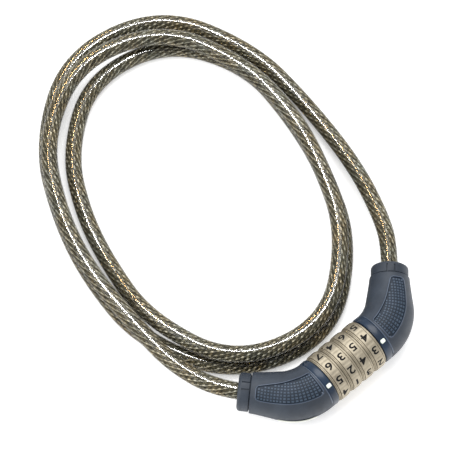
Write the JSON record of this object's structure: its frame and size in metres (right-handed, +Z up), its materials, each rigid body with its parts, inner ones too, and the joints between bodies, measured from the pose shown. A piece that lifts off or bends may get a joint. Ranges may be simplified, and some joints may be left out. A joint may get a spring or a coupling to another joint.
{
  "type": "combination cable lock",
  "caption": "Coiled steel cable in a clear sleeve, with a combination lock of number dials between two elbow housings; one housing pulls out as the key end.",
  "frame": {"origin": "bottom centre of the lock's box, without the cable, on the surface that it lies on", "axes": "+X along the dial axis towards the key end that pulls out, +Y towards the cable's coil, +Z up"},
  "size_m": [0.1431, 0.2165, 0.0242],
  "materials": {
    "shell": "fine matte moulded ABS, grey-blue",
    "ring": "polished, dark blue",
    "dial_nickel": "satin nickel plating on zinc, dark inlaid digits",
    "steel": "turned, lightly oiled",
    "spring_steel": "blued spring steel",
    "screw_steel": "black oxide",
    "zinc": "die-cast, satin",
    "white_mark": "white paint",
    "label": "blank satin strip",
    "sleeve": "clear smoked PVC, glossy",
    "wire_rope": "stranded galvanised steel"
  },
  "bodies": {
    "housing": {"left_shell_top": "shell", "left_shell_bottom": "shell", "left_ring": "ring", "left_index_mark": "white_mark", "left_collar": "shell", "left_anchor": "zinc", "left_ferrule": "steel", "left_set_screws": "screw_steel", "left_label": "label", "barrel": "steel", "detent_spring": "spring_steel", "retaining_washer": "steel", "snap_ring": "spring_steel", "cable_sleeve": "sleeve", "cable_core": "wire_rope"},
    "plug": {"right_shell_top": "shell", "right_shell_bottom": "shell", "right_ring": "ring", "right_index_mark": "white_mark", "right_collar": "shell", "right_anchor": "zinc", "right_ferrule": "steel", "right_set_screws": "screw_steel", "locking_pin": "steel"},
    "dial_1": {"number_dial_1": "dial_nickel", "code_ring_1": "zinc"},
    "dial_2": {"number_dial_2": "dial_nickel", "code_ring_2": "zinc"},
    "dial_3": {"number_dial_3": "dial_nickel", "code_ring_3": "zinc"},
    "dial_4": {"number_dial_4": "dial_nickel", "code_ring_4": "zinc"}
  },
  "joints": [
    {"name": "dial_1_spin", "type": "hinge", "parent": "housing", "child": "dial_1", "pos_m": [-0.0105, -0.0069, 0.0121], "axis": [1, 0, 0], "continuous": true},
    {"name": "dial_2_spin", "type": "hinge", "parent": "housing", "child": "dial_2", "pos_m": [-0.0035, -0.0069, 0.0121], "axis": [1, 0, 0], "continuous": true},
    {"name": "dial_3_spin", "type": "hinge", "parent": "housing", "child": "dial_3", "pos_m": [0.0035, -0.0069, 0.0121], "axis": [1, 0, 0], "continuous": true},
    {"name": "dial_4_spin", "type": "hinge", "parent": "housing", "child": "dial_4", "pos_m": [0.0105, -0.0069, 0.0121], "axis": [1, 0, 0], "continuous": true},
    {"name": "plug_pull", "type": "slide", "parent": "housing", "child": "plug", "axis": [1, 0, 0], "range_m": [0, 0.04], "deforming": ["cable_sleeve", "cable_core"]}
  ]
}
